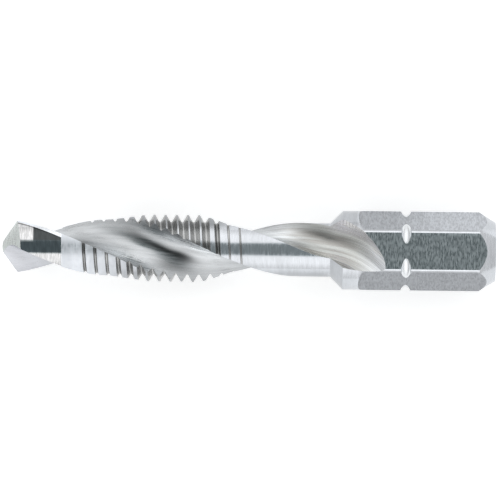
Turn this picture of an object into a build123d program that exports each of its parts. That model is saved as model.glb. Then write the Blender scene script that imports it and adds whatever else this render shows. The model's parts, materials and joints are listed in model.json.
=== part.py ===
from build123d import *
import math
import os

# Combination drill and tap bit: one piece of ground high-speed steel.
# It drills a 5 mm hole, cuts an M6 x 1 right-hand thread behind the drill and ends in a
# quarter-inch hexagonal shank. All sizes are millimetres and degrees.
#
# The bit is modelled along local Z with the point at zero, and every station named "at" is a
# distance from the chisel edge. The last section lays it down: the axis runs along X, the point
# looks to -X, one hexagon flat looks down and the origin is on the floor under its middle.

# Whole bit
overall_length = 44.0

# Drill
drill_diameter = 5.0
point_angle = 118.0
lip_relief = 0.08
flank_cone_angle = 52.0
flank_apex_offset = 1.2
margin_width = 0.26
land_clearance = 0.08
clearance_end_at = 5.3

# Thread
thread_diameter = 6.0
thread_pitch = 1.0
thread_flank_angle = 60.0
thread_depth = 0.66
thread_start_at = 7.1
thread_end_at = 21.3
thread_crest_at = 14.54
chamfer_start_at = 9.6
chamfer_end_at = 13.2
back_taper_start_at = 17.65
back_taper_end_at = 20.3

# Neck
neck_diameter = 4.8
neck_end_at = 29.26
shoulder_angle = 45.0

# Hexagonal shank
across_flats = 6.25
across_rounded_corners = 7.05
flats_start_at = 31.7
flats_runout_radius = 0.7
detent_from_end = 8.0
detent_bottom_diameter = 6.38
detent_bottom_width = 0.34
detent_wall_angle = 42.0
end_chamfer_angle = 31.0
end_chamfer_length = 1.46

# Flutes
flute_count = 2
flute_lead = 35.3
flute_top_at = 4.45
web_at_point = 0.9
web_taper = 0.0454
land_width_angle = 68.3
floor_centre_offset = 0.09
floor_radius = 3.2
floor_half_width = 1.3
runout_start_at = 28.44
runout_radius = 6.42
runout_skew = 0.91
section_turn = 30.0
runout_section_spacing = 1.5

# Worked out from the sizes above
drill_radius = drill_diameter / 2
thread_radius = thread_diameter / 2
thread_root_radius = thread_radius - thread_depth
neck_radius = neck_diameter / 2
corner_radius = across_rounded_corners / 2
flat_height = across_flats / 2
half_web = web_at_point / 2
lip_slope = 1 / math.tan(math.radians(point_angle / 2))
turn_per_mm = 360.0 / flute_lead
section_spacing = section_turn / turn_per_mm
flute_pitch_angle = 360.0 / flute_count
shoulder_top_at = neck_end_at + (corner_radius - neck_radius) / math.tan(math.radians(shoulder_angle))
end_face_radius = corner_radius - end_chamfer_length * math.tan(math.radians(end_chamfer_angle))
overrun = 1.0
groove_pass_share = 0.72
outside_radius = corner_radius + overrun


def polar(radius, angle, height=0.0):
    turn = math.radians(angle)
    return Vector(radius * math.cos(turn), radius * math.sin(turn), height)


# Flute section
# A flute is drawn in a frame of its own: "out" is its height above the web, measured away from
# the axis, and "across" runs to the heel side, so the cutting face is on the negative side.

rake_corner_angle = (flute_pitch_angle - land_width_angle) / 2
lip_turn = turn_per_mm * lip_slope


def straight_lip_point(radius):
    """The cutting face that leaves a straight lip when a cone of the point angle cuts it."""
    angle_off_lip = math.degrees(math.asin(half_web / radius)) + lip_turn * radius
    corner_off_lip = math.degrees(math.asin(half_web / drill_radius)) + lip_turn * drill_radius
    angle = math.radians(rake_corner_angle + corner_off_lip - angle_off_lip)
    return -radius * math.sin(angle), radius * math.cos(angle) - half_web


rake_radii = [drill_radius * share for share in (1.0, 0.75, 0.5, 0.3)]
rake_points = [straight_lip_point(radius) for radius in rake_radii]
rake_corner = rake_points[0]
rake_wall_slope = (rake_points[0][1] - rake_points[1][1]) / (rake_points[1][0] - rake_points[0][0])
floor_end_out = floor_radius - math.sqrt(floor_radius**2 - (floor_half_width - floor_centre_offset) ** 2)
heel_corner = (
    drill_radius * math.sin(math.radians(rake_corner_angle)),
    drill_radius * math.cos(math.radians(rake_corner_angle)) - half_web,
)
heel_wall_slope = (heel_corner[1] - floor_end_out) / (heel_corner[0] - floor_half_width)


def web_height(station):
    """Half the web at a station, with its taper and the rise where the wheel leaves the flute."""
    rise = max(station - runout_start_at, 0.0) ** 2 / (2 * runout_radius)
    return half_web + web_taper / 2 * station + rise


def flute_direction(station):
    return turn_per_mm * (station - flute_top_at)


def flute_wire(station):
    """One closed outline of the metal that the wheel takes out, in the plane of the station."""
    middle = math.radians(flute_direction(station))

    def place(across, out):
        height = out + web_height(station - runout_skew * across)
        x = height * math.cos(middle) + across * math.sin(middle)
        y = height * math.sin(middle) - across * math.cos(middle)
        return Vector(x, y, station)

    reach = outside_radius
    rake_end = place(-reach, rake_corner[1] + rake_wall_slope * (reach + rake_corner[0]))
    rake_curve = [place(across, out) for across, out in rake_points]
    bottom = place(floor_centre_offset, 0.0)
    floor_steps = [floor_centre_offset + (floor_half_width - floor_centre_offset) * s for s in (0.5, 1.0)]
    floor_curve = [bottom] + [
        place(across, floor_radius - math.sqrt(floor_radius**2 - (across - floor_centre_offset) ** 2))
        for across in floor_steps
    ]
    heel_end = place(reach, heel_corner[1] + heel_wall_slope * (reach - heel_corner[0]))
    far_heel = place(reach, 2 * reach)
    far_rake = place(-reach, 2 * reach)
    return Wire(
        [
            Edge.make_line(rake_end, rake_curve[0]),
            Edge.make_spline(rake_curve + [bottom]),
            Edge.make_spline(floor_curve),
            Edge.make_line(floor_curve[-1], heel_end),
            Edge.make_line(heel_end, far_heel),
            Edge.make_line(far_heel, far_rake),
            Edge.make_line(far_rake, rake_end),
        ]
    )


def make_flute():
    """A skin through outlines that turn with the lead, past both ends of the cut."""
    runout_length = math.sqrt(2 * runout_radius * outside_radius)
    end_at = runout_start_at + runout_length
    straight_count = math.ceil((runout_start_at + overrun) / section_spacing)
    runout_count = math.ceil(runout_length / runout_section_spacing)
    stations = [-overrun + (runout_start_at + overrun) * i / straight_count for i in range(straight_count)]
    stations += [runout_start_at + (end_at - runout_start_at) * i / runout_count for i in range(runout_count + 1)]
    return Solid.make_loft([flute_wire(station) for station in stations])


# Turned blank

def turn_outline(outline):
    """A solid of revolution from points that each give a radius and a station."""
    points = [(radius, 0, station) for radius, station in outline]
    return revolve(make_face(Polyline(points + points[:1])), Axis.Z)


def make_blank():
    outline = [
        (0.0, -overrun),
        (drill_radius, -overrun),
        (drill_radius, chamfer_start_at),
        (thread_radius, chamfer_end_at),
        (thread_radius, back_taper_start_at),
        (neck_radius, back_taper_end_at),
        (neck_radius, neck_end_at),
        (corner_radius, shoulder_top_at),
        (corner_radius, overall_length - end_chamfer_length),
        (end_face_radius, overall_length),
        (0.0, overall_length),
    ]
    return turn_outline(outline)


# Hexagonal shank

def make_flat_cutter(side):
    """The wheel pass that leaves one flat, with a rounded front where the wheel runs out."""
    depth = 2 * overrun
    block = Box(4 * corner_radius, depth, overall_length, align=(Align.CENTER, Align.MIN, Align.MIN))
    front = block.edges().filter_by(Axis.X).group_by(Axis.Z)[0].sort_by(Axis.Y)[0]
    cutter = Pos(0, flat_height, flats_start_at) * fillet(front, flats_runout_radius)
    return Rot(0, 0, 60.0 * side) * cutter


def make_detent_groove():
    """A turned groove with a narrow flat bottom and two slanting walls."""
    bottom = detent_bottom_diameter / 2
    middle = overall_length - detent_from_end
    half_bottom = detent_bottom_width / 2
    half_top = half_bottom + (outside_radius - bottom) * math.tan(math.radians(detent_wall_angle))
    return turn_outline(
        [
            (bottom, middle - half_bottom),
            (bottom, middle + half_bottom),
            (outside_radius, middle + half_top),
            (outside_radius, middle - half_top),
        ]
    )


# Thread

def make_groove_pass():
    """One crossing of the V groove over a land, centred on local X at height zero."""
    half_slope = math.tan(math.radians(thread_flank_angle / 2))
    crest_flat = thread_pitch / 8
    root_flat = thread_pitch - crest_flat - 2 * thread_depth * half_slope
    outer_radius = thread_radius + crest_flat / (4 * half_slope)
    outer_half = root_flat / 2 + (outer_radius - thread_root_radius) * half_slope
    section = Wire.make_polygon(
        [
            (thread_root_radius, 0, root_flat / 2),
            (outer_radius, 0, outer_half),
            (outer_radius, 0, -outer_half),
            (thread_root_radius, 0, -root_flat / 2),
        ]
    )
    share_of_turn = groove_pass_share / flute_count
    helix = Edge.make_helix(thread_pitch, thread_pitch * share_of_turn, thread_root_radius)
    groove = Solid.sweep(Face(section), path=helix, is_frenet=True)
    return Rot(0, 0, -180.0 * share_of_turn) * Pos(0, 0, -thread_pitch * share_of_turn / 2) * groove


def make_thread_grooves():
    """Every crossing of the helix over every land, so that each pass ends in open flute."""
    groove_pass = make_groove_pass()
    grooves = []
    for land in range(flute_count):
        land_direction = flute_pitch_angle * (land + 0.5) - turn_per_mm * flute_top_at
        lead_gain = 1 - turn_per_mm * thread_pitch / 360.0
        first = thread_crest_at + thread_pitch / 2 + thread_pitch * land_direction / 360.0
        lowest = math.ceil((thread_start_at * lead_gain - first) / thread_pitch)
        highest = math.floor((thread_end_at * lead_gain - first) / thread_pitch)
        for turn in range(lowest, highest + 1):
            station = (first + thread_pitch * turn) / lead_gain
            direction = land_direction + turn_per_mm * station
            grooves.append(Pos(0, 0, station) * Rot(0, 0, direction) * groove_pass)
    return grooves


# Drill lands

def make_land_clearance():
    """The thin shell ground off the drill's lands, apart from the margin along each cutting edge."""
    margin_angle = math.degrees(margin_width / drill_radius)
    into_flute_angle = math.degrees(overrun / drill_radius)
    inside = drill_radius - overrun
    length = clearance_end_at + overrun
    start = flute_direction(-overrun) + rake_corner_angle - into_flute_angle
    end = flute_direction(-overrun) + rake_corner_angle + margin_angle
    corners = [(inside, start), (outside_radius, start), (outside_radius, end), (inside, end)]
    section = Wire.make_polygon([polar(radius, angle, -overrun) for radius, angle in corners])
    margin = Solid.extrude_linear_with_rotation(section, (0, 0, -overrun), (0, 0, length), turn_per_mm * length)
    floor = drill_radius - land_clearance
    top = drill_radius + overrun / 2
    shell = turn_outline(
        [(floor, -overrun / 2), (top, -overrun / 2), (top, clearance_end_at), (floor, clearance_end_at)]
    )
    return shell.cut(*[Rot(0, 0, flute_pitch_angle * index) * margin for index in range(flute_count)])


# Point

def make_flank_cone():
    """The leaning cone whose inside is left by grinding one flank of the point."""
    corner_at = drill_radius * lip_slope
    corner_direction = flute_direction(corner_at) + rake_corner_angle
    lip_direction = corner_direction + math.degrees(math.asin(half_web / drill_radius))
    along = polar(1, lip_direction)
    ahead = polar(1, lip_direction - 90.0)
    down = Vector(0, 0, 1)
    lip = (along + down * lip_slope).normalized()
    outward = (along * lip_slope - ahead * lip_relief - down).normalized()
    apex = ahead * half_web - along * flank_apex_offset
    apex = apex - down * (flank_apex_offset * lip_slope + half_web * lip_relief)
    lean = math.radians(flank_cone_angle)
    axis = lip * math.cos(lean) - outward * math.sin(lean)
    reach = 2 * overall_length
    cone = Plane(apex, z_dir=axis).location * Solid.make_cone(0, reach * math.tan(lean), reach)
    crossings = cone.faces().filter_by(GeomType.CONE)[0].find_intersection_points(Axis.Z)
    chisel_at = min((point.Z for point, normal in crossings), key=abs)
    return Pos(0, 0, -chisel_at) * cone


# Bit

def make_bit():
    bit = make_blank()
    turns = [Rot(0, 0, flute_pitch_angle * index) for index in range(flute_count)]
    flute = make_flute()
    for turn in turns:
        bit -= turn * flute
    bit -= make_land_clearance()
    flank = make_flank_cone()
    for turn in turns:
        bit &= turn * flank
    bit = bit.cut(*[make_flat_cutter(side) for side in range(6)])
    bit -= make_detent_groove()
    return bit.cut(*make_thread_grooves())


def lay_down(bit):
    """Along X, point to -X, resting on the lowest corner of the turned collar."""
    lying = Plane((-overall_length / 2, 0, 0), x_dir=(0, 1, 0), z_dir=(1, 0, 0)).location * bit
    lowest = min(vertex.Z for vertex in lying.vertices())
    return Pos(0, 0, -lowest) * lying


os.makedirs("parts", exist_ok=True)
export_step(lay_down(make_bit()), "parts/tap_drill.step")
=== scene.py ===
import json
import math

import bpy
import numpy as np
from mathutils import Matrix, Vector
from mathutils.bvhtree import BVHTree


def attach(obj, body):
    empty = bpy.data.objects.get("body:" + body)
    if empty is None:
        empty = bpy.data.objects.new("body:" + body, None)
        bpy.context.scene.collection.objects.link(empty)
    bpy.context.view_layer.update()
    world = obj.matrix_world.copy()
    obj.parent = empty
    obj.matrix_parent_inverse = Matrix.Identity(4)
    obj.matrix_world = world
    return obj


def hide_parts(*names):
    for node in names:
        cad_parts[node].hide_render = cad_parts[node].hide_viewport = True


# A combination drill and tap bit, lying on a pale floor and seen from straight above.
# The bit is cut once more here, finely meshed, from the sizes of the CAD solid. It is worked out in
# millimetres along local Z, with the chisel edge at zero and every "at" a station, which is a
# distance from that edge, and then laid along X where the frame has it.

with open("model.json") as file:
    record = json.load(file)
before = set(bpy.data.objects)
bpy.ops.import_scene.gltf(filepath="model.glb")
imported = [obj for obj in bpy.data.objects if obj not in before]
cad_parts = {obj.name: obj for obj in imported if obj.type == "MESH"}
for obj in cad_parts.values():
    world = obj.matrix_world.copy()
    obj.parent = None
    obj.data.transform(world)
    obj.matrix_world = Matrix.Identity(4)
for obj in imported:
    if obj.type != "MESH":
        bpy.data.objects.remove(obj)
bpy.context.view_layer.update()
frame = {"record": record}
node_name = "tap_drill"
shank_mount = next(m for m in frame["record"]["mounts"] if m["name"] == "hex_shank")
axis_height = shank_mount["pos_m"][2]
MM = 0.001

# Whole bit and drill
overall_length = 44.0
drill_radius = 2.5
point_angle = math.radians(118.0)
lip_relief = 0.08
flank_cone_angle = math.radians(52.0)
flank_apex_offset = 1.2
margin_width = 0.26
land_clearance = 0.08
clearance_end_at = 5.3

# Thread
thread_radius = 3.0
thread_depth = 0.66
thread_pitch = 1.0
thread_flank_slope = math.tan(math.radians(30.0))
thread_crest_flat = thread_pitch / 8
thread_start_at = 7.1
thread_end_at = 21.3
thread_crest_at = 14.54
chamfer_start_at = 9.6
chamfer_end_at = 13.2
back_taper_start_at = 17.65
back_taper_end_at = 20.3
groove_pass_share = 0.36
crest_round = 0.05
crest_lift = crest_round / 5
root_round = 0.09
groove_gap = 0.004

# Neck and shank
neck_radius = 2.4
neck_end_at = 29.26
flat_count = 6
flat_height = 3.125
corner_radius = 3.525
flats_start_at = 31.7
flats_runout_radius = 0.7
detent_at = overall_length - 8.0
detent_bottom_radius = 3.19
detent_round = 0.46
end_chamfer_slope = math.tan(math.radians(31.0))
end_chamfer_length = 1.46
end_edge_round = 0.06

# Flutes. The cutting face is drawn inwards to rake_inner_share of the drill's radius. Outside the
# drill it goes on with the slope that it has from rake_slope_share to the drill's edge.
flute_count = 2
flute_lead = 35.3
flute_top_at = 4.45
rake_inner_share = 0.3
rake_slope_share = 0.75
half_web_at_point = 0.45
web_rise = 0.0227
land_width_angle = math.radians(68.3)
floor_centre_offset = 0.09
floor_radius = 3.2
floor_half_width = 1.3
heel_blend = 0.55
runout_start_at = 28.44
runout_radius = 6.42
runout_skew = 0.91

# Fineness of the mesh: numbers of points or rings, and the distance between the rings of a flute
round_steps = 288
cone_steps = 4 * round_steps
arc_steps = 25
corner_steps = 5
rake_steps = 15
bridge_steps = 6
floor_steps = 8
blend_steps = 9
clearance_steps = 61
clearance_rings = 25
groove_steps = 48
flute_step = 0.28

# How far the cutters reach past what they cut, how far in from a face's corner its normal is looked
# up, as a share of the way to its middle, the smallest area that counts as one, and the scale that
# keeps this finer mesh inside the box of the coarser CAD mesh
overrun = 1.0
lookup_share = 0.03
smallest_area = 1e-18
inside_box = 0.99985

turn_per_mm = 2 * math.pi / flute_lead
flute_pitch_angle = 2 * math.pi / flute_count
lip_slope = 1 / math.tan(point_angle / 2)
rake_corner_angle = (flute_pitch_angle - land_width_angle) / 2
outside_radius = corner_radius + overrun
thread_root_radius = thread_radius - thread_depth

# Surfaces of the bit, in the order of its material slots
SURFACES = range(7)
TURNED, LAND, FLUTE, FLANK, FLAT, DETENT, THREAD = SURFACES


# Mesh tools

def new_object(name, points, faces, surface, smooth_angle=20.0):
    """A closed mesh whose faces all belong to one surface of the bit."""
    mesh = bpy.data.meshes.new(name)
    mesh.from_pydata([tuple(p) for p in points], [], faces)
    mesh.validate()
    mesh.update()
    for _ in SURFACES:
        mesh.materials.append(None)
    mesh.polygons.foreach_set("material_index", [surface] * len(mesh.polygons))
    mesh.shade_smooth()
    mesh.set_sharp_from_angle(angle=math.radians(smooth_angle))
    shape = bpy.data.objects.new(name, mesh)
    bpy.context.scene.collection.objects.link(shape)
    return shape


def skin(rings):
    """Points and triangles of a closed skin through rings that each hold as many points."""
    rings = np.asarray(rings)
    ring_count, point_count = rings.shape[:2]
    faces = []
    for i in range(ring_count - 1):
        low, high = i * point_count, (i + 1) * point_count
        for j in range(point_count):
            k = (j + 1) % point_count
            faces.append((low + j, low + k, high + k))
            faces.append((low + j, high + k, high + j))
    faces.append(tuple(range(point_count))[::-1])
    faces.append(tuple(range((ring_count - 1) * point_count, ring_count * point_count)))
    return rings.reshape(-1, 3), faces


def turned(name, outline, surface):
    """A solid of revolution through points (radius, station), with flat ends."""
    angles = np.linspace(0, 2 * math.pi, round_steps, endpoint=False)
    radii = np.array([p[0] for p in outline])
    stations = np.array([p[1] for p in outline])
    rings = np.stack(
        [
            radii[:, None] * np.cos(angles),
            radii[:, None] * np.sin(angles),
            np.repeat(stations[:, None], round_steps, axis=1),
        ],
        axis=2,
    )
    points, faces = skin(rings)
    return new_object(name, points, faces, surface)


def ring_cutter(name, outline, surface):
    """A turned ring whose outline (radius, station) is closed and stays off the axis."""
    angles = np.linspace(0, 2 * math.pi, round_steps, endpoint=False)
    points = [(r * math.cos(a), r * math.sin(a), z) for a in angles for r, z in outline]
    count = len(outline)
    faces = []
    for i in range(round_steps):
        low, high = i * count, (i + 1) % round_steps * count
        for j in range(count):
            k = (j + 1) % count
            faces.append((low + j, high + j, high + k, low + k))
    return new_object(name, points, faces, surface)


def joined(name, shapes):
    """Several cutters of one surface that don't touch each other, as one object."""
    points, faces, surface = [], [], shapes[0].data.polygons[0].material_index
    for shape in shapes:
        start = len(points)
        points += [shape.matrix_world @ v.co for v in shape.data.vertices]
        faces += [tuple(start + i for i in p.vertices) for p in shape.data.polygons]
        bpy.data.objects.remove(shape)
    return new_object(name, points, faces, surface)


def turned_copies(shape, turns):
    """Copies of a cutter, each turned round the axis by an angle and moved to a station."""
    copies = []
    for angle, station in turns:
        mesh = shape.data.copy()
        mesh.transform(Matrix.Translation((0, 0, station)) @ Matrix.Rotation(angle, 4, "Z"))
        copy = bpy.data.objects.new(shape.name, mesh)
        bpy.context.scene.collection.objects.link(copy)
        copies.append(copy)
    bpy.data.objects.remove(shape)
    return copies


def face_outward(shape):
    """Turns a closed mesh inside out if its volume comes out negative."""
    mesh = shape.data
    mesh.calc_loop_triangles()
    co = np.empty(len(mesh.vertices) * 3)
    mesh.vertices.foreach_get("co", co)
    corners = co.reshape(-1, 3)[np.array([t.vertices[:] for t in mesh.loop_triangles])]
    if np.einsum("ij,ij->i", corners[:, 0], np.cross(corners[:, 1], corners[:, 2])).sum() < 0:
        mesh.flip_normals()
    return shape


def cut(blank, cutter, operation="DIFFERENCE"):
    """One more cut of the blank, as a modifier."""
    step = blank.modifiers.new(cutter.name, "BOOLEAN")
    step.operation = operation
    step.solver = "MANIFOLD"
    step.object = cutter


# Flutes

def web_height(station):
    """How far the floor of a flute is from the axis. It rises in an arc where the flute runs out."""
    rise = max(station - runout_start_at, 0.0) ** 2 / (2 * runout_radius)
    return half_web_at_point + web_rise * station + rise


def flute_direction(station):
    """The angle at which the middle of the first flute faces."""
    return turn_per_mm * (station - flute_top_at)


def straight_lip_point(radius):
    """The cutting face that leaves a straight lip when a cone of the point angle cuts it."""
    lip_turn = turn_per_mm * lip_slope
    angle_off_lip = math.asin(half_web_at_point / radius) + lip_turn * radius
    corner_off_lip = math.asin(half_web_at_point / drill_radius) + lip_turn * drill_radius
    angle = rake_corner_angle + corner_off_lip - angle_off_lip
    return -radius * math.sin(angle), radius * math.cos(angle) - half_web_at_point


def floor_out(across):
    """How far the round floor of a flute rises from its lowest line."""
    return floor_radius - math.sqrt(floor_radius**2 - (across - floor_centre_offset) ** 2)


def flute_outline():
    """Points (across, out) of the cut's section, from the rake side over the floor to the heel."""
    shares = np.linspace(1.0, rake_inner_share, rake_steps)
    rake = [straight_lip_point(drill_radius * share) for share in shares]
    top_across, top_out = rake[0]
    next_across, next_out = straight_lip_point(drill_radius * rake_slope_share)
    rake_slope = (top_out - next_out) / (next_across - top_across)
    rake_end = (-outside_radius, top_out + rake_slope * (outside_radius + top_across))
    bottom = (floor_centre_offset, 0.0)
    bridge = smooth_bridge(rake[-2], rake[-1], bottom, bridge_steps)
    floor_across = np.linspace(floor_centre_offset, floor_half_width - heel_blend, floor_steps)[1:]
    floor = [(across, floor_out(across)) for across in floor_across]
    heel = (
        drill_radius * math.sin(rake_corner_angle),
        drill_radius * math.cos(rake_corner_angle) - half_web_at_point,
    )
    floor_end = np.array((floor_half_width, floor_out(floor_half_width)))
    heel_slope = (heel[1] - floor_end[1]) / (heel[0] - floor_end[0])
    blend_start = np.array(floor[-1])
    blend_end = floor_end + np.array((1.0, heel_slope)) * heel_blend
    for t in np.linspace(0, 1, blend_steps)[1:]:
        point = (1 - t) ** 2 * blend_start + 2 * t * (1 - t) * floor_end + t**2 * blend_end
        floor.append(tuple(point))
    heel_end = (outside_radius, heel[1] + heel_slope * (outside_radius - heel[0]))
    far = [(outside_radius, 2 * outside_radius), (-outside_radius, 2 * outside_radius)]
    return [rake_end] + rake + bridge + [bottom] + floor + [heel_end] + far


def smooth_bridge(before, start, end, count):
    """Points between start and end of a curve that leaves along the last chord and ends level."""
    start, end = np.array(start), np.array(end)
    chord = start - np.array(before)
    reach = np.linalg.norm(end - start)
    leave = chord / np.linalg.norm(chord) * reach
    arrive = np.array([1.0, 0.0]) * reach
    points = []
    for t in np.linspace(0, 1, count + 2)[1:-1]:
        h0, h1 = 2 * t**3 - 3 * t**2 + 1, t**3 - 2 * t**2 + t
        h2, h3 = -2 * t**3 + 3 * t**2, t**3 - t**2
        points.append(tuple(h0 * start + h1 * leave + h2 * end + h3 * arrive))
    return points


def make_flute():
    """The twisted cutter of one flute, which leaves the bit where its floor has risen."""
    outline = flute_outline()
    end_at = runout_start_at + math.sqrt(2 * runout_radius * outside_radius)
    rings = []
    for station in np.arange(-overrun, end_at + flute_step, flute_step):
        middle = flute_direction(station)
        ring = []
        for across, out in outline:
            height = out + web_height(station - runout_skew * across)
            x = height * math.cos(middle) + across * math.sin(middle)
            y = height * math.sin(middle) - across * math.cos(middle)
            ring.append((x, y, station))
        rings.append(ring)
    points, faces = skin(rings)
    return new_object("flute", points, faces, FLUTE, smooth_angle=14.0)


# Blank

def rounded_corner(before, corner, after, radius):
    """Points of an arc of that radius in place of one corner of an outline."""
    before, corner, after = (np.array(p, float) for p in (before, corner, after))
    to_before = (before - corner) / np.linalg.norm(before - corner)
    to_after = (after - corner) / np.linalg.norm(after - corner)
    half = math.acos(np.clip(to_before @ to_after, -1, 1)) / 2
    bisector = (to_before + to_after) / np.linalg.norm(to_before + to_after)
    centre = corner + bisector * radius / math.sin(half)
    first = corner + to_before * radius / math.tan(half) - centre
    last = corner + to_after * radius / math.tan(half) - centre
    span = math.acos(np.clip(first @ last / radius**2, -1, 1))
    shares = np.linspace(0, 1, corner_steps)
    return [
        tuple(centre + (math.sin((1 - s) * span) * first + math.sin(s * span) * last) / math.sin(span))
        for s in shares
    ]


def make_blank():
    """The turned blank, from the drill to the chamfer at the end of the shank."""
    shoulder_top_at = neck_end_at + corner_radius - neck_radius
    chamfer_at = overall_length - end_chamfer_length
    end_radius = corner_radius - end_chamfer_length * end_chamfer_slope
    end_corner = rounded_corner(
        (corner_radius, chamfer_at), (end_radius, overall_length), (0, overall_length), end_edge_round
    )
    outline = [
        (drill_radius, -overrun),
        (drill_radius, chamfer_start_at),
        (thread_radius, chamfer_end_at),
        (thread_radius, back_taper_start_at),
        (neck_radius, back_taper_end_at),
        (neck_radius, neck_end_at),
        (corner_radius, shoulder_top_at),
        (corner_radius, chamfer_at),
    ] + end_corner
    return turned(node_name, outline, TURNED)


# Shank

def make_flat_cutters():
    """A wheel pass for each flat, with a rounded front where the wheel runs out."""
    top = flat_height + flats_runout_radius + overrun
    back = overall_length + overrun
    front = [
        (
            flat_height + flats_runout_radius * (1 - math.cos(angle)),
            flats_start_at + flats_runout_radius * (1 - math.sin(angle)),
        )
        for angle in np.linspace(0, math.pi / 2, arc_steps)
    ]
    profile = [(flat_height, back)] + front + [(top, flats_start_at), (top, back)]
    half_width = 2 * corner_radius
    rings = [[(side * half_width, height, at) for height, at in profile] for side in (-1, 1)]
    points, faces = skin(rings)
    cutter = new_object("flat", points, faces, FLAT)
    turns = [(2 * math.pi * side / flat_count, 0.0) for side in range(flat_count)]
    return turned_copies(cutter, turns)


def make_detent():
    """A turned groove with a round bottom, between walls square to the axis outside the bit."""
    angles = np.linspace(-math.pi / 2, math.pi / 2, arc_steps)
    arc_middle = detent_bottom_radius + detent_round
    arc = [
        (arc_middle - detent_round * math.cos(a), detent_at + detent_round * math.sin(a))
        for a in angles
    ]
    rim = [(outside_radius, detent_at + detent_round), (outside_radius, detent_at - detent_round)]
    return ring_cutter("detent", (arc + rim)[::-1], DETENT)


# Thread

def make_groove_section():
    """Half of the V groove's outline as (radius, half width), from the root to outside the crest."""
    crest = (thread_radius, (thread_pitch - thread_crest_flat) / 2)
    root_half = crest[1] - thread_depth * thread_flank_slope
    root = (thread_root_radius, root_half)
    outside = (thread_radius + crest_lift, thread_pitch / 2)
    points = [(thread_root_radius, 0.0)]
    points += rounded_corner(points[0], root, crest, root_round)
    points += rounded_corner(root, crest, outside, crest_round)
    points.append((outside[0], outside[1] - groove_gap))
    return points[1:]


def make_groove_pass():
    """One crossing of the groove over a land, centred on local X at height zero."""
    half = make_groove_section()
    half.append((thread_radius + overrun, half[-1][1]))
    section = half + [(r, -w) for r, w in half[::-1]]
    rings = []
    for share in np.linspace(-0.5, 0.5, groove_steps + 1):
        turn = 2 * math.pi * groove_pass_share * share
        rise = thread_pitch * groove_pass_share * share
        rings.append([(r * math.cos(turn), r * math.sin(turn), w + rise) for r, w in section])
    points, faces = skin(rings)
    return new_object("groove", points, faces, THREAD, smooth_angle=25.0)


def make_grooves():
    """Every crossing of the helix over every land, so that each pass ends in open flute."""
    lead_gain = 1 - turn_per_mm * thread_pitch / (2 * math.pi)
    turns = []
    for land in range(flute_count):
        land_direction = flute_pitch_angle * (land + 0.5) - turn_per_mm * flute_top_at
        first = thread_crest_at + thread_pitch / 2 + thread_pitch * land_direction / (2 * math.pi)
        lowest = math.ceil((thread_start_at * lead_gain - first) / thread_pitch)
        highest = math.floor((thread_end_at * lead_gain - first) / thread_pitch)
        for turn in range(lowest, highest + 1):
            station = (first + thread_pitch * turn) / lead_gain
            turns.append((land_direction + turn_per_mm * station, station))
    return joined("grooves", turned_copies(make_groove_pass(), turns))


# Drill lands and point

def make_land_clearance():
    """The thin shell ground off each land behind its margin, twisted with the flutes."""
    start = rake_corner_angle + margin_width / drill_radius
    end = flute_pitch_angle - rake_corner_angle + overrun / drill_radius
    angles = np.linspace(start, end, clearance_steps)
    floor = drill_radius - land_clearance
    top = drill_radius + overrun
    rings = []
    for station in np.linspace(-overrun, clearance_end_at, clearance_rings):
        turned_angles = angles + flute_direction(station)
        low = [(floor * math.cos(a), floor * math.sin(a), station) for a in turned_angles]
        high = [(top * math.cos(a), top * math.sin(a), station) for a in turned_angles[::-1]]
        rings.append(low + high)
    points, faces = skin(rings)
    shape = new_object("clearance", points, faces, LAND)
    return turned_copies(shape, [(flute_pitch_angle * i, 0.0) for i in range(flute_count)])


def make_flank_cones():
    """The leaning cones whose insides are left by grinding the two flanks of the point."""
    corner_at = drill_radius * lip_slope
    corner_direction = flute_direction(corner_at) + rake_corner_angle
    lip_direction = corner_direction + math.asin(half_web_at_point / drill_radius)
    along = Vector((math.cos(lip_direction), math.sin(lip_direction), 0))
    ahead = Vector((math.sin(lip_direction), -math.cos(lip_direction), 0))
    down = Vector((0, 0, 1))
    lip = (along + down * lip_slope).normalized()
    outward = (along * lip_slope - ahead * lip_relief - down).normalized()
    apex = ahead * half_web_at_point - along * flank_apex_offset
    apex -= down * (flank_apex_offset * lip_slope + half_web_at_point * lip_relief)
    axis = lip * math.cos(flank_cone_angle) - outward * math.sin(flank_cone_angle)
    apex.z -= crossing_height(apex, axis)
    reach = 3 * overall_length
    side = axis.orthogonal().normalized()
    other = axis.cross(side)
    radius = reach * math.tan(flank_cone_angle)
    points = [apex] + [
        apex + axis * reach + (side * math.cos(a) + other * math.sin(a)) * radius
        for a in np.linspace(0, 2 * math.pi, cone_steps, endpoint=False)
    ]
    faces = [(0, 1 + (i + 1) % cone_steps, 1 + i) for i in range(cone_steps)]
    faces.append(tuple(range(1, cone_steps + 1)))
    cone = new_object("flank", points, faces, FLANK)
    return turned_copies(cone, [(flute_pitch_angle * i, 0.0) for i in range(flute_count)])


def crossing_height(apex, axis):
    """Where the cone's surface crosses the bit's axis nearest to zero."""
    spread = math.cos(flank_cone_angle) ** 2
    start = -apex
    a = axis.z**2 - spread
    b = 2 * start.dot(axis) * axis.z - 2 * spread * start.z
    c = start.dot(axis) ** 2 - spread * start.dot(start)
    root = math.sqrt(b * b - 4 * a * c)
    return min(((-b + root) / (2 * a), (-b - root) / (2 * a)), key=abs)


# Bit

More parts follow.
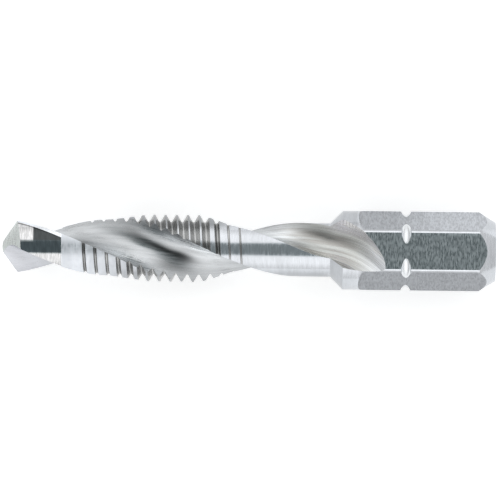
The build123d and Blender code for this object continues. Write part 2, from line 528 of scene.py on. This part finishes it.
def surface_lookups(operands):
    """For each surface, a search tree of its uncut triangles, and their corners and normals."""
    lookups = {}
    for surface in SURFACES:
        points, triangles, normals = [], [], []
        for operand in (o for o in operands if o.data.polygons[0].material_index == surface):
            source = operand.data
            source.calc_loop_triangles()
            start = len(points)
            points += [v.co.copy() for v in source.vertices]
            corner_normals = [n.vector.copy() for n in source.corner_normals]
            for triangle in source.loop_triangles:
                triangles.append([start + i for i in triangle.vertices])
                normals.append([corner_normals[i] for i in triangle.loops])
        corners = np.array(points)[np.array(triangles)]
        lookups[surface] = (BVHTree.FromPolygons(points, triangles), corners, np.array(normals))
    return lookups


def true_normals(mesh, lookups):
    """Gives the cut mesh the normals of the surfaces that it was cut from."""
    hits = {surface: [] for surface in SURFACES}
    for polygon in mesh.polygons:
        tree = lookups[polygon.material_index][0]
        for loop in polygon.loop_indices:
            corner = mesh.vertices[mesh.loops[loop].vertex_index].co
            place, _, triangle, _ = tree.find_nearest(corner.lerp(polygon.center, lookup_share))
            hits[polygon.material_index].append((loop, triangle, place))
    result = np.zeros((len(mesh.loops), 3))
    for surface, (_, corners, normals) in lookups.items():
        loops, triangles, places = (list(column) for column in zip(*hits[surface]))
        weights = barycentric(np.array(places), corners[triangles])
        result[loops] = (normals[triangles] * weights[:, :, None]).sum(axis=1)
    face_normals = np.empty(len(mesh.polygons) * 3)
    mesh.polygons.foreach_get("normal", face_normals)
    per_loop = np.repeat(face_normals.reshape(-1, 3), [p.loop_total for p in mesh.polygons], axis=0)
    flip = np.einsum("ij,ij->i", per_loop, result) < 0
    result[flip] *= -1
    result /= np.linalg.norm(result, axis=1)[:, None]
    mesh.normals_split_custom_set(result)


def barycentric(places, corners):
    """How much each corner of its triangle counts at each place."""
    a, b, c = corners[:, 0], corners[:, 1], corners[:, 2]
    normal = np.cross(b - a, c - a)
    area = np.maximum(np.einsum("ij,ij->i", normal, normal), smallest_area)
    weight_b = np.einsum("ij,ij->i", np.cross(places - a, c - a), normal) / area
    weight_c = np.einsum("ij,ij->i", np.cross(b - a, places - a), normal) / area
    weights = np.stack([1 - weight_b - weight_c, weight_b, weight_c], axis=1)
    return np.clip(weights, 0, 1)


def make_bit():
    """The bit, cut in the order in which such a bit is ground."""
    blank = face_outward(make_blank())
    flutes = turned_copies(make_flute(), [(flute_pitch_angle * i, 0.0) for i in range(flute_count)])
    cutters = flutes + make_land_clearance()
    cones = make_flank_cones()
    late_cutters = make_flat_cutters() + [make_detent(), make_grooves()]
    for shape in cutters + cones + late_cutters:
        face_outward(shape)
    for cutter in cutters:
        cut(blank, cutter)
    for cone in cones:
        cut(blank, cone, "INTERSECT")
    for cutter in late_cutters:
        cut(blank, cutter)
    depsgraph = bpy.context.evaluated_depsgraph_get()
    bit_mesh = bpy.data.meshes.new_from_object(blank.evaluated_get(depsgraph), depsgraph=depsgraph)
    bit = bpy.data.objects.new(node_name + "_bit", bit_mesh)
    bpy.context.scene.collection.objects.link(bit)
    blank.modifiers.clear()
    operands = [blank] + cutters + cones + late_cutters
    true_normals(bit_mesh, surface_lookups(operands))
    for shape in operands:
        bpy.data.objects.remove(shape)
    return bit


def lay_down(bit):
    """Local Z becomes X, local X becomes Y and local Y becomes Z, at the frame's axis height."""
    turn = Matrix(((0, 0, 1), (1, 0, 0), (0, 1, 0)))
    centred = Matrix.Translation((0, 0, -overall_length / 2))
    raised = Matrix.Translation((0, 0, axis_height))
    bit.data.transform(raised @ Matrix.Scale(inside_box * MM, 4) @ turn.to_4x4() @ centred)


bit = make_bit()
lay_down(bit)
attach(bit, "root")
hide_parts(node_name)


# Camera

image_pixels = 500
pixels_per_mm = 11.2
camera_height = 0.6
camera_roll = math.radians(0.68)
centre_pixel = (248.8, 249.1)

camera_data = bpy.data.cameras.new("camera")
camera = bpy.data.objects.new("camera", camera_data)
bpy.context.scene.collection.objects.link(camera)
bpy.context.scene.camera = camera
frame_width = image_pixels / pixels_per_mm * MM
camera_data.sensor_width = 36.0
camera_data.lens = camera_data.sensor_width * (camera_height - axis_height) / frame_width
right = Vector((math.cos(camera_roll), math.sin(camera_roll), 0))
up = Vector((-math.sin(camera_roll), math.cos(camera_roll), 0))
off_right = (image_pixels / 2 - centre_pixel[0]) / pixels_per_mm * MM
off_up = (centre_pixel[1] - image_pixels / 2) / pixels_per_mm * MM
camera.location = right * off_right + up * off_up + Vector((0, 0, camera_height))
camera.rotation_euler = (0, 0, camera_roll)


# Shader tools

def new_material(name):
    material = bpy.data.materials.new(name)
    material.use_nodes = True
    return material


def add(tree, kind, values=None, **settings):
    """One node, with its settings, and its inputs by name or number, each a constant or a link."""
    node = tree.nodes.new(kind)
    for setting, value in settings.items():
        setattr(node, setting, value)
    for key, value in (values or {}).items():
        if isinstance(value, bpy.types.NodeSocket):
            tree.links.new(value, node.inputs[key])
        else:
            node.inputs[key].default_value = value
    return node


def math_node(tree, operation, *values):
    return add(tree, "ShaderNodeMath", dict(enumerate(values)), operation=operation).outputs[0]


def negated(tree, value):
    return math_node(tree, "MULTIPLY", value, -1.0)


def remap(tree, value, low, high, new_low, new_high):
    values = {"Value": value, "From Min": low, "From Max": high, "To Min": new_low, "To Max": new_high}
    return add(tree, "ShaderNodeMapRange", values).outputs[0]


def ramp(tree, value, ends):
    """0 at the first end and 1 at the second, straight in between and level beyond."""
    return remap(tree, value, ends[0], ends[1], 0.0, 1.0)


# Steel
# Every finish has fine and broad streaks of noise, whose values lie mostly between noise_low and
# noise_high. Lengths are in millimetres.

noise_low = 0.4
noise_high = 0.6
streak_roughness = 0.55
fine_detail = 3.0
broad_detail = 1.0
bump_depth = 0.004
edge_softness = 0.03
edge_samples = 4
roughness_spread = 0.27
brightest_steel = 0.95


def place_in_mm(tree):
    """Position on the bit in millimetres: the station, then y and z from the axis."""
    place = add(tree, "ShaderNodeTexCoord").outputs["Object"]
    split = add(tree, "ShaderNodeSeparateXYZ", {0: place})
    station = math_node(tree, "MULTIPLY_ADD", split.outputs[0], 1 / MM, overall_length / 2)
    y = math_node(tree, "DIVIDE", split.outputs[1], MM)
    z = math_node(tree, "MULTIPLY_ADD", split.outputs[2], 1 / MM, -axis_height / MM)
    return station, y, z


def scaled_vector(tree, values, scales):
    parts = {i: math_node(tree, "MULTIPLY", v, s) for i, (v, s) in enumerate(zip(values, scales))}
    return add(tree, "ShaderNodeCombineXYZ", parts).outputs[0]


def crosswise_lay(tree, lines_per_mm, along_per_mm):
    """Noise space for marks that run across the bit, as turning and cross grinding leave them."""
    return scaled_vector(tree, place_in_mm(tree), (lines_per_mm, along_per_mm, along_per_mm))


def flute_place(tree):
    """Place in the nearest flute: across it, out from its floor before the run-out, and the station."""
    station, y, z = place_in_mm(tree)
    turn = math_node(tree, "MULTIPLY_ADD", station, turn_per_mm, -turn_per_mm * flute_top_at)
    cosine, sine = math_node(tree, "COSINE", turn), math_node(tree, "SINE", turn)
    up = math_node(tree, "MULTIPLY_ADD", y, cosine, math_node(tree, "MULTIPLY", z, sine))
    side = math_node(tree, "MULTIPLY", z, negated(tree, cosine))
    side = math_node(tree, "MULTIPLY_ADD", y, sine, side)
    across = math_node(tree, "MULTIPLY", side, math_node(tree, "SIGN", up))
    past = math_node(tree, "SUBTRACT", station, runout_start_at)
    past = math_node(tree, "MULTIPLY_ADD", across, -runout_skew, past)
    past = math_node(tree, "MAXIMUM", past, 0.0)
    rise = math_node(tree, "DIVIDE", math_node(tree, "MULTIPLY", past, past), 2 * runout_radius)
    out = math_node(tree, "SUBTRACT", math_node(tree, "ABSOLUTE", up), rise)
    return across, out, station


def flute_lay(tree, lines_per_mm, along_per_mm):
    """Noise space for marks that follow the flutes and rise with them where they run out."""
    return scaled_vector(tree, flute_place(tree), (lines_per_mm, lines_per_mm, along_per_mm))


def streaks(tree, lay, lines_per_mm, along_per_mm, detail):
    space = lay(tree, lines_per_mm, along_per_mm)
    values = {"Vector": space, "Scale": 1.0, "Detail": detail, "Roughness": streak_roughness}
    return add(tree, "ShaderNodeTexNoise", values).outputs[0]


def along_bit(tree, values):
    """A value that follows the station, from pairs of (station, value) joined by straight ramps."""
    station = place_in_mm(tree)[0]
    result = values[0][1]
    for (start, low), (end, high) in zip(values, values[1:]):
        share = remap(tree, station, start, end, 0.0, high - low)
        result = math_node(tree, "ADD", share, result)
    return result


def tinted(tree, colour, level):
    return add(tree, "ShaderNodeVectorMath", {0: colour, 1: level}, operation="MULTIPLY").outputs[0]


def mixed(tree, share, low, high):
    values = {"Factor": share, 6: low, 7: high}
    return add(tree, "ShaderNodeMix", values, data_type="RGBA").outputs[2]


def varied(tree, lines, contrast):
    """A factor about 1 that follows the streaks, with a contrast that may be pairs along the bit."""
    depth = along_bit(tree, contrast) if isinstance(contrast, list) else contrast
    swing = remap(tree, lines, noise_low, noise_high, -1.0, 1.0)
    return math_node(tree, "MULTIPLY_ADD", swing, depth, 1.0)


def make_steel(name, colour, roughness, lay, fine, broad, bump):
    """Ground steel. Fine and broad streaks are each (lines per mm, per mm along, contrast).

    The colour is a constant, or a function of the node tree and the broad streaks. The roughness and
    the contrasts are constants, or pairs of (station, value).
    """
    material = new_material(name)
    tree = material.node_tree
    shader = tree.nodes["Principled BSDF"]
    fine_lines = streaks(tree, lay, fine[0], fine[1], fine_detail)
    broad_lines = streaks(tree, lay, broad[0], broad[1], broad_detail)
    shade = varied(tree, fine_lines, fine[2])
    shade = math_node(tree, "MULTIPLY", shade, varied(tree, broad_lines, broad[2]))
    base = colour(tree, broad_lines) if callable(colour) else colour
    tree.links.new(tinted(tree, base, shade), shader.inputs["Base Color"])
    spread = varied(tree, fine_lines, roughness_spread)
    rough = along_bit(tree, roughness) if isinstance(roughness, list) else roughness
    tree.links.new(math_node(tree, "MULTIPLY", spread, rough), shader.inputs["Roughness"])
    shader.inputs["Metallic"].default_value = 1.0
    rounded = add(tree, "ShaderNodeBevel", {"Radius": edge_softness * MM}, samples=edge_samples)
    values = {"Height": fine_lines, "Distance": bump_depth * MM, "Strength": bump}
    values["Normal"] = rounded.outputs[0]
    tree.links.new(add(tree, "ShaderNodeBump", values).outputs[0], shader.inputs["Normal"])
    return material


# Marks in the flutes: painted highlights where the gain is above zero, and painted shade with some
# residue where it is below. Station, across, half length, half width, lean, gain
flute_light_and_residue_marks = [
    (6.8, -0.4, 1.6, 1.05, 0.0, -0.48),
    (8.2, 1.6, 3.0, 0.6, 0.0, 0.5),
    (11.2, -1.4, 1.7, 0.55, 0.0, 0.9),
    (12.0, 1.1, 1.0, 0.35, -0.35, -0.25),
    (13.0, 1.9, 1.6, 0.4, 0.0, -0.5),
    (14.2, 0.12, 2.7, 0.37, -0.27, -0.86),
    (15.8, -0.15, 1.0, 0.3, -0.2, -0.6),
    (15.0, -1.2, 1.4, 0.6, 0.0, -0.45),
    (15.2, 1.3, 0.9, 0.35, 0.0, 0.5),
    (16.1, -0.5, 0.9, 0.65, 0.0, -0.45),
    (16.7, 1.45, 0.5, 0.3, 0.0, 0.8),
    (18.0, 1.1, 2.2, 0.48, 0.0, 1.4),
    (18.9, 0.0, 1.6, 0.9, 0.0, 0.3),
    (19.3, 2.1, 1.5, 0.35, 0.0, -0.45),
    (25.2, 0.8, 1.5, 0.7, 0.0, 0.6),
    (26.4, -0.6, 2.4, 0.6, 0.0, -0.22),
    (29.2, -1.2, 1.6, 0.4, 0.0, 0.6),
    (28.2, 0.9, 2.0, 0.7, 0.0, -0.4),
    (30.7, 0.9, 1.3, 0.35, 0.0, -0.25),
    (30.8, 1.9, 1.2, 0.4, 0.0, 0.12),
    (31.8, 2.6, 1.8, 0.85, 0.0, 1.1),
    (33.7, -1.0, 1.1, 0.7, 0.0, 0.35),
    (34.3, 1.2, 1.4, 0.8, 0.0, 1.4),
    (35.0, 0.4, 1.3, 1.2, 0.0, 0.35),
]

# How bright the flutes are along the bit, and their tints: the first one, and those that follow it as
# from station, to station, tint
flute_levels = [(3.0, 0.57), (5.5, 0.5), (22.0, 0.5), (27.0, 0.56)]
first_flute_tone = (0.98, 1.0, 1.06, 1)
flute_tones = [
    (3.0, 6.0, (0.98, 1.01, 1.035, 1)),
    (24.5, 28.0, (1.0, 1.02, 0.99, 1)),
    (31.5, 33.5, (0.98, 1.01, 1.05, 1)),
]

# Warm streaks where the noise is low, and the cool rim: where along the bit, where across, and tint
warm_part = [(23.5, 0.0), (28.0, 1.0), (30.5, 1.0), (32.0, 0.1)]
warm_noise = (0.5, 0.38)
warm_tone = (0.93, 0.91, 0.87, 1)
rim_part = [(28.5, 0.0), (30.0, 1.0)]
rim_across = (1.2, 1.7)
rim_tone = (1.0, 0.99, 1.05, 1)


def mark(tree, across, station, middle, half_length, half_width, lean):
    """1 in the middle of a mark in the flutes, fading smoothly to 0 around it."""
    off = math_node(tree, "SUBTRACT", station, middle[0])
    side = math_node(tree, "MULTIPLY_ADD", off, -lean, math_node(tree, "SUBTRACT", across, middle[1]))
    reach = scaled_vector(tree, (off, side), (1 / half_length, 1 / half_width))
    square = add(tree, "ShaderNodeVectorMath", {0: reach, 1: reach}, operation="DOT_PRODUCT")
    return math_node(tree, "EXPONENT", negated(tree, square.outputs["Value"]))


def flute_colour(tree, lines):
    """Bright by the point, greyer behind it, and with warm dull streaks where the flutes run out.

    Their rim on the collar is cool again. Soft marks paint highlights and shade on them, with some
    residue.
    """
    across, _, station = flute_place(tree)
    level = along_bit(tree, flute_levels)
    for at, centre, half_length, half_width, lean, gain in flute_light_and_residue_marks:
        share = mark(tree, across, station, (at, centre), half_length, half_width, lean)
        level = math_node(tree, "MULTIPLY", level, math_node(tree, "MULTIPLY_ADD", share, gain, 1.0))
    level = math_node(tree, "MINIMUM", level, brightest_steel)
    tone = first_flute_tone
    for start, end, colour in flute_tones:
        tone = mixed(tree, along_bit(tree, [(start, 0.0), (end, 1.0)]), tone, colour)
    warmth = math_node(tree, "MULTIPLY", ramp(tree, lines, warm_noise), along_bit(tree, warm_part))
    tone = mixed(tree, warmth, tone, warm_tone)
    rim = math_node(tree, "MULTIPLY", ramp(tree, across, rim_across), along_bit(tree, rim_part))
    return tinted(tree, mixed(tree, rim, tone, rim_tone), level)


def front_side(tree):
    """How far towards the rake side of its land a place is, in millimetres, on either land."""
    _, y, z = place_in_mm(tree)
    return math_node(tree, "MULTIPLY", y, math_node(tree, "SIGN", z))


# How bright the turned surface is along the bit, lightened and darkened as painted highlight and
# painted shade for what each part mirrors: the drill's lands, the cone of the shoulder, the collar, the
# corners of the shank and the chamfer at its end
turned_tone = (0.57, 0.59, 0.62)
turned_painted_light_levels = [
    (7.5, 1.3),
    (9.5, 1.1),
    (13.2, 1.0),
    (29.2, 1.0),
    (29.3, 0.78),
    (30.3, 0.78),
    (30.4, 0.95),
    (31.5, 0.97),
    (32.2, 1.12),
    (42.3, 1.12),
    (42.8, 1.02),
]

# How much painted shade darkens the turned surface along the bit to the front and to the back of each
# land: the thread's crests, the neck, the collar and the chamfer. Then the same painted shade for the
# outer half of the strips at the shank's corners, which leaves a thin painted highlight, and where each
# of the three begins and is full, in millimetres towards the front.
front_shade = [
    (9.5, 0.0),
    (12.5, 0.5),
    (19.0, 0.5),
    (20.5, 0.15),
    (29.0, 0.25),
    (29.3, 0.0),
    (30.3, 0.0),
    (30.4, 0.22),
    (31.6, 0.22),
    (31.8, 0.0),
    (42.4, 0.0),
    (42.8, 0.15),
]
back_shade = [(9.5, 0.0), (12.5, 0.35), (19.0, 0.35), (20.5, 0.22), (29.0, 0.28), (29.3, 0.0)]
corner_shade = [(31.7, 0.0), (32.2, 0.45), (42.3, 0.45), (42.8, 0.0)]
front_from = (1.7, 2.1)
back_from = (-1.8, -2.2)
corner_from = (1.73, 1.79)


def turned_colour(tree, _lines):
    """Bright turning, lightened and darkened along the bit as painted highlight and shade, with painted
    shade to the front and back, and on the outer half of each corner strip of the shank.
    """
    side = front_side(tree)
    corner = ramp(tree, math_node(tree, "ABSOLUTE", side), corner_from)
    corner = math_node(tree, "MULTIPLY", corner, along_bit(tree, corner_shade))
    front = math_node(tree, "MULTIPLY", ramp(tree, side, front_from), along_bit(tree, front_shade))
    back = math_node(tree, "MULTIPLY", ramp(tree, side, back_from), along_bit(tree, back_shade))
    painted_shade = math_node(tree, "ADD", corner, math_node(tree, "ADD", front, back))
    unshaded = math_node(tree, "SUBTRACT", 1.0, painted_shade)
    level = along_bit(tree, turned_painted_light_levels)
    return tinted(tree, turned_tone, math_node(tree, "MULTIPLY", level, unshaded))


# Tones of the cleared lands, where their darkest part begins along the bit, and the edges of the dark
# patch, in millimetres towards the front. The patch and its nearly black part are painted shade, a
# painted reflection of the dark opening overhead, and the bright steel by the point is a painted
# highlight.
land_bright = (0.57, 0.57, 0.575, 1)
land_painted_shade = (0.205, 0.236, 0.255, 1)
land_darkest_painted_shade = (0.06, 0.066, 0.068, 1)
darkest_from = [(2.75, 0.0), (2.85, 1.0)]
patch_back_edge = (-0.54, -0.48)
patch_front_edge = (0.4, 0.46)
darkest_edge = (0.48, 0.64)


def land_colour(tree, _lines):
    """Bright cleared lands with a dull patch behind the point that ends with the clearance.

    To the front it ends in bright steel by the point, a painted highlight, and in nearly black steel
    further back. The patch and the black steel are painted shade.
    """
    side = front_side(tree)
    middle = mixed(tree, ramp(tree, side, patch_back_edge), land_bright, land_painted_shade)
    by_point = mixed(tree, ramp(tree, side, patch_front_edge), middle, land_bright)
    further_back = mixed(tree, ramp(tree, side, darkest_edge), middle, land_darkest_painted_shade)
    return mixed(tree, along_bit(tree, darkest_from), by_point, further_back)


# Tones of the flats, the side flats painted darker as shade, the distance from the middle at which the
# side flats begin, and the painted sheen of those to +Y: where along the bit, where across, and gain.
# Those to -Y are darkened as painted shade.
flat_tone = (0.38, 0.415, 0.43, 1)
shaded_side_flat_tone = (0.345, 0.358, 0.38, 1)
shaded_flat_level = 0.87
side_flat_from = (1.65, 1.85)
sheen_at = (35.0, 39.0)
sheen_across = (1.2, 1.8)
painted_sheen_gain = 0.32


def flat_colour(tree, _lines):
    """Lightest at top and bottom, with painted shade on the side flats. Flats to +Y brighten along the
    shank as a painted sheen, and those to -Y are darkened as painted shade.
    """
    station, y, _ = place_in_mm(tree)
    share = math_node(tree, "MULTIPLY", ramp(tree, station, sheen_at), ramp(tree, y, sheen_across))
    level = math_node(tree, "MULTIPLY_ADD", share, painted_sheen_gain, 1.0)
    start, full = side_flat_from
    level = math_node(tree, "MULTIPLY", level, remap(tree, y, -start, -full, 1.0, shaded_flat_level))
    middle = remap(tree, math_node(tree, "ABSOLUTE", y), start, full, 1.0, 0.0)
    return tinted(tree, mixed(tree, middle, shaded_side_flat_tone, flat_tone), level)


# Tone of the thread's flanks, how bright they are along the bit, how far painted shade darkens them to
# the middle, front and back of each land, and where these parts begin and are full, in millimetres
# towards the front
thread_tone = (0.545, 0.55, 0.55)
thread_levels = [(11.5, 0.72), (13.5, 1.0), (18.0, 1.0), (19.0, 0.8)]
thread_middle_shade, thread_middle_shade_level = (0.75, 0.45), 0.6
thread_front_shade, thread_front_shade_level = (1.5, 1.9), 0.53
thread_back_shade, thread_back_shade_level = (-1.4, -1.8), 0.75


def thread_colour(tree, _lines):
    """Bright flanks, duller at both ends of the thread, and darkened with painted shade to the sides
    and middle of each land.
    """
    side = front_side(tree)
    off_middle = math_node(tree, "ABSOLUTE", side)
    middle = remap(tree, off_middle, *thread_middle_shade, 1.0, thread_middle_shade_level)
    front = remap(tree, side, *thread_front_shade, 1.0, thread_front_shade_level)
    back = remap(tree, side, *thread_back_shade, 1.0, thread_back_shade_level)
    level = math_node(tree, "MULTIPLY", front, back)
    ends = along_bit(tree, thread_levels)
    level = math_node(tree, "MULTIPLY", level, math_node(tree, "MULTIPLY", ends, middle))
    return tinted(tree, thread_tone, level)


def dress_bit():
    """One finish for each surface: name, colour, roughness, lay, fine and broad streaks, bump."""
    cleared = (clearance_end_at, 0.12)
    turned_roughness = [cleared, (clearance_end_at + 0.05, 0.5), (11.5, 0.5), (13.2, 0.18)]
    flute_fine = (8.0, 0.5, [(22.0, 0.05), (26.0, 0.1)])
    flute_broad = (3.0, 0.09, [(4.0, 0.02), (8.0, 0.05), (22.0, 0.06), (26.0, 0.09)])
    flank = (0.65, 0.69, 0.675)
    detent = (0.72, 0.74, 0.76)
    across, along = crosswise_lay, flute_lay
    turned_fine, land_fine = (8.0, 1.2, 0.04), (8.0, 1.2, 0.14)
    turned_broad = (1.3, 0.2, 0.04)
    finishes = {
        TURNED: ("turned", turned_colour, turned_roughness, across, turned_fine, turned_broad, 0.5),
        LAND: ("land", land_colour, 0.12, across, land_fine, turned_broad, 0.2),
        FLUTE: ("flute", flute_colour, 0.32, along, flute_fine, flute_broad, 0.25),
        FLANK: ("flank", flank, 0.3, across, (8.0, 0.8, 0.06), (1.0, 0.5, 0.05), 0.3),
        FLAT: ("flat", flat_colour, 0.34, across, (8.0, 2.2, 0.17), (2.0, 0.6, 0.03), 0.0),
        DETENT: ("detent", detent, 0.2, across, (8.0, 0.6, 0.05), (1.0, 0.3, 0.03), 0.3),
        THREAD: ("thread", thread_colour, 0.25, across, (10.0, 0.8, 0.08), (1.3, 0.3, 0.1), 0.15),
    }
    for surface, (name, *finish) in finishes.items():
        bit.data.materials[surface] = make_steel(name + "_steel", *finish)


dress_bit()


# Floor

def shown_white(tree):
    """1 where the camera, a reflection or glass sees the floor, 0 where the floor lights the bit."""
    path = add(tree, "ShaderNodeLightPath")
    seen = math_node(tree, "MAXIMUM", path.outputs["Is Camera Ray"], path.outputs["Is Glossy Ray"])
    return math_node(tree, "MAXIMUM", seen, path.outputs["Is Transmission Ray"])


floor_size = 30.0
floor_colour = (0.9, 0.9, 0.9, 1)
floor_lift = 0.42


def make_floor():
    """A pale diffuse floor that keeps the bit's shadow and is lifted to white where it is seen."""
    bpy.ops.mesh.primitive_plane_add(size=floor_size)
    floor = bpy.context.object
    floor.name = "floor"
    material = new_material("floor")
    tree = material.node_tree
    shader = tree.nodes["Principled BSDF"]
    shader.inputs["Base Color"].default_value = floor_colour
    shader.inputs["Roughness"].default_value = 1.0
    shader.inputs["Specular IOR Level"].default_value = 0.0
    shader.inputs["Emission Color"].default_value = (1, 1, 1, 1)
    lift = math_node(tree, "MULTIPLY", shown_white(tree), floor_lift)
    tree.links.new(lift, shader.inputs["Emission Strength"])
    floor.data.materials.append(material)


make_floor()


# Light
# A white light tent, dimmer towards the point and the shank, with a round opening overhead, so that
# what looks straight up mirrors the dark and slightly cool room. Turns are measured from the point's
# side, and the other angles from straight up.

side_light = 1.46
point_end_light = 0.7
shank_end_light = 0.95
opening_light = 0.3
opening_tint = (0.91, 1.03, 1.05, 1)
point_end_turns = (math.radians(35), math.radians(80))
shank_end_turns = (math.radians(110), math.radians(165))
opening_edge = (math.radians(24), math.radians(32))
lower_wall = (math.radians(60), math.radians(90))
horizon_share = 0.65


def make_tent():
    world = bpy.data.worlds.new("tent")
    bpy.context.scene.world = world
    world.use_nodes = True
    tree = world.node_tree
    direction = add(tree, "ShaderNodeTexCoord").outputs["Generated"]
    x, y, z = add(tree, "ShaderNodeSeparateXYZ", {0: direction}).outputs
    from_top = math_node(tree, "ARCCOSINE", z)
    turn = math_node(tree, "ABSOLUTE", math_node(tree, "ARCTAN2", y, negated(tree, x)))
    rise = remap(tree, turn, *point_end_turns, 0.0, side_light - point_end_light)
    fall = remap(tree, turn, *shank_end_turns, 0.0, shank_end_light - side_light)
    wall = math_node(tree, "ADD", math_node(tree, "ADD", rise, fall), point_end_light)
    wall = math_node(tree, "MULTIPLY", wall, remap(tree, from_top, *lower_wall, 1.0, horizon_share))
    edge = {"Value": from_top, "From Min": opening_edge[0], "From Max": opening_edge[1]}
    cover = add(tree, "ShaderNodeMapRange", edge, interpolation_type="SMOOTHSTEP").outputs[0]
    strength = add(tree, "ShaderNodeMix", {0: cover, 2: opening_light, 3: wall}).outputs[0]
    background = tree.nodes["Background"]
    tree.links.new(mixed(tree, cover, opening_tint, (1, 1, 1, 1)), background.inputs["Color"])
    tree.links.new(strength, background.inputs["Strength"])


make_tent()
bpy.context.scene.view_settings.view_transform = "Standard"
